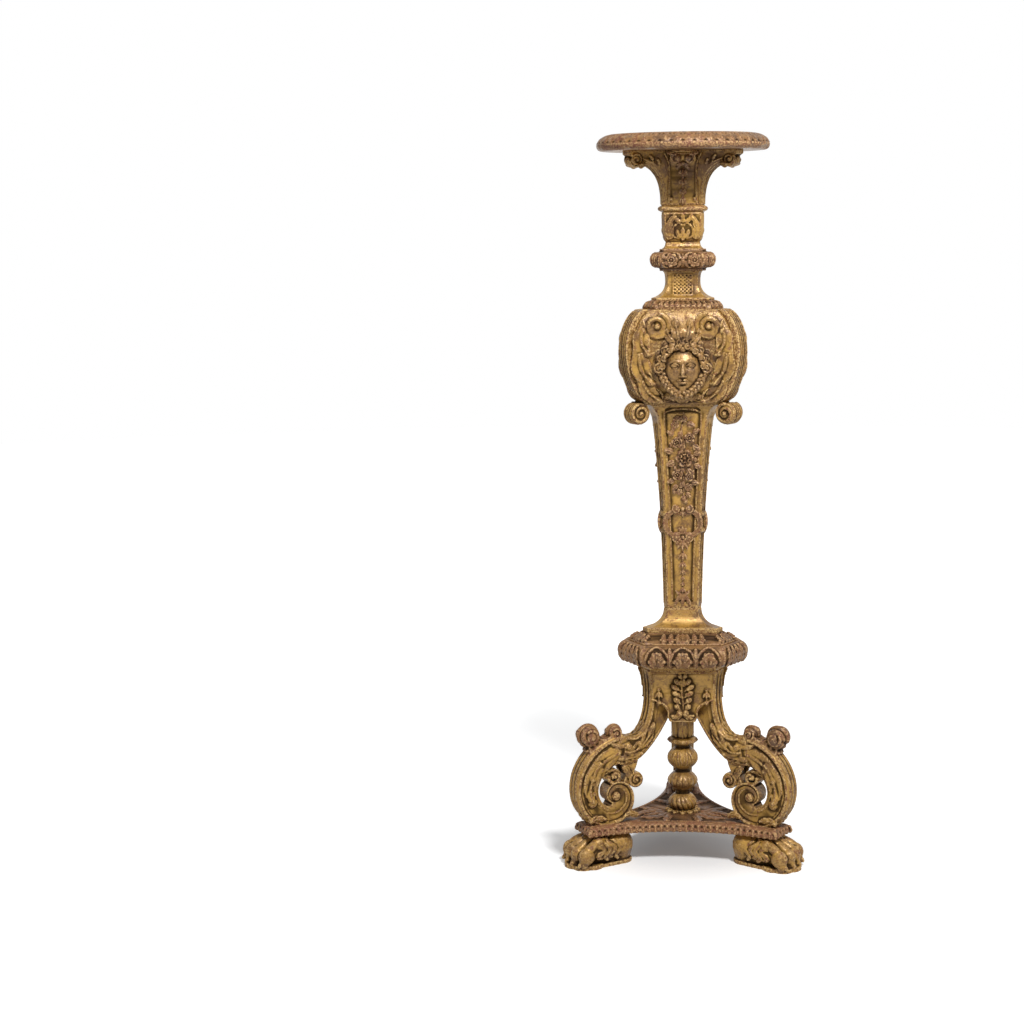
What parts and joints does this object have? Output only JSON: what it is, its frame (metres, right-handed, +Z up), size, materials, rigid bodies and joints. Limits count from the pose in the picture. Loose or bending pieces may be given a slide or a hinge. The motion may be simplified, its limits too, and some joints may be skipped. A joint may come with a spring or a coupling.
{
  "type": "torchere candle stand",
  "caption": "Carved and gilded three-sided candle stand: round top on leafy brackets, vase with masks, tapering post, scroll legs round a turned stem, hollow-sided plinth on paw feet.",
  "frame": {"origin": "on the stand's own axis, level with the floor under the three paw feet", "axes": "+Z up along the stand's axis; one broad face with its mask looks along -Y; the legs stand at 210, 330 and 90 degrees from +X"},
  "size_m": [0.5156, 0.4593, 1.52],
  "materials": {
    "gilding": "water gilding over red bole and gesso, softly burnished and rubbed on the edges",
    "worn_gilding": "old gilding worn to bole and gesso on the high carving, dark in the recesses",
    "bare_wood": "bare wood, inside the stand"
  },
  "bodies": {
    "root": {"paw_left": "gilding", "paw_right": "gilding", "paw_rear": "gilding", "paw_dowels": "bare_wood", "plinth": "worn_gilding", "stem_boss": "worn_gilding", "stem": "gilding", "leg_scroll_left": "gilding", "leg_scroll_right": "gilding", "leg_scroll_rear": "gilding", "leg_dowels": "bare_wood", "leg_arm_left": "gilding", "leg_arm_right": "gilding", "leg_arm_rear": "gilding", "leg_stay_left": "gilding", "leg_stay_right": "gilding", "leg_stay_rear": "gilding", "leaf_curls_left": "worn_gilding", "leaf_curls_right": "worn_gilding", "leaf_curls_rear": "worn_gilding", "hub": "bare_wood", "apron_front": "gilding", "apron_right": "gilding", "apron_left": "gilding", "hub_cornice": "gilding", "base_knop": "worn_gilding", "base_knop_band": "worn_gilding", "shaft_foot": "gilding", "shaft": "gilding", "post_dowels": "bare_wood", "floral_drop_front": "worn_gilding", "floral_drop_right": "worn_gilding", "floral_drop_left": "worn_gilding", "strapwork_front": "gilding", "strapwork_right": "gilding", "strapwork_left": "gilding", "vase": "gilding", "corner_rib_left": "gilding", "corner_rib_right": "gilding", "corner_rib_rear": "gilding", "face_scrolls_front": "gilding", "face_scrolls_right": "gilding", "face_scrolls_left": "gilding", "mask_front": "worn_gilding", "mask_right": "worn_gilding", "mask_left": "worn_gilding", "neck_moulding": "worn_gilding", "neck": "gilding", "knop": "worn_gilding", "cup": "gilding", "collar": "gilding", "capital": "gilding", "bracket_left": "gilding", "bracket_right": "gilding", "bracket_rear": "gilding", "husk_drop_front": "worn_gilding", "husk_drop_right": "worn_gilding", "husk_drop_left": "worn_gilding", "top_board": "worn_gilding"}
  },
  "joints": []
}
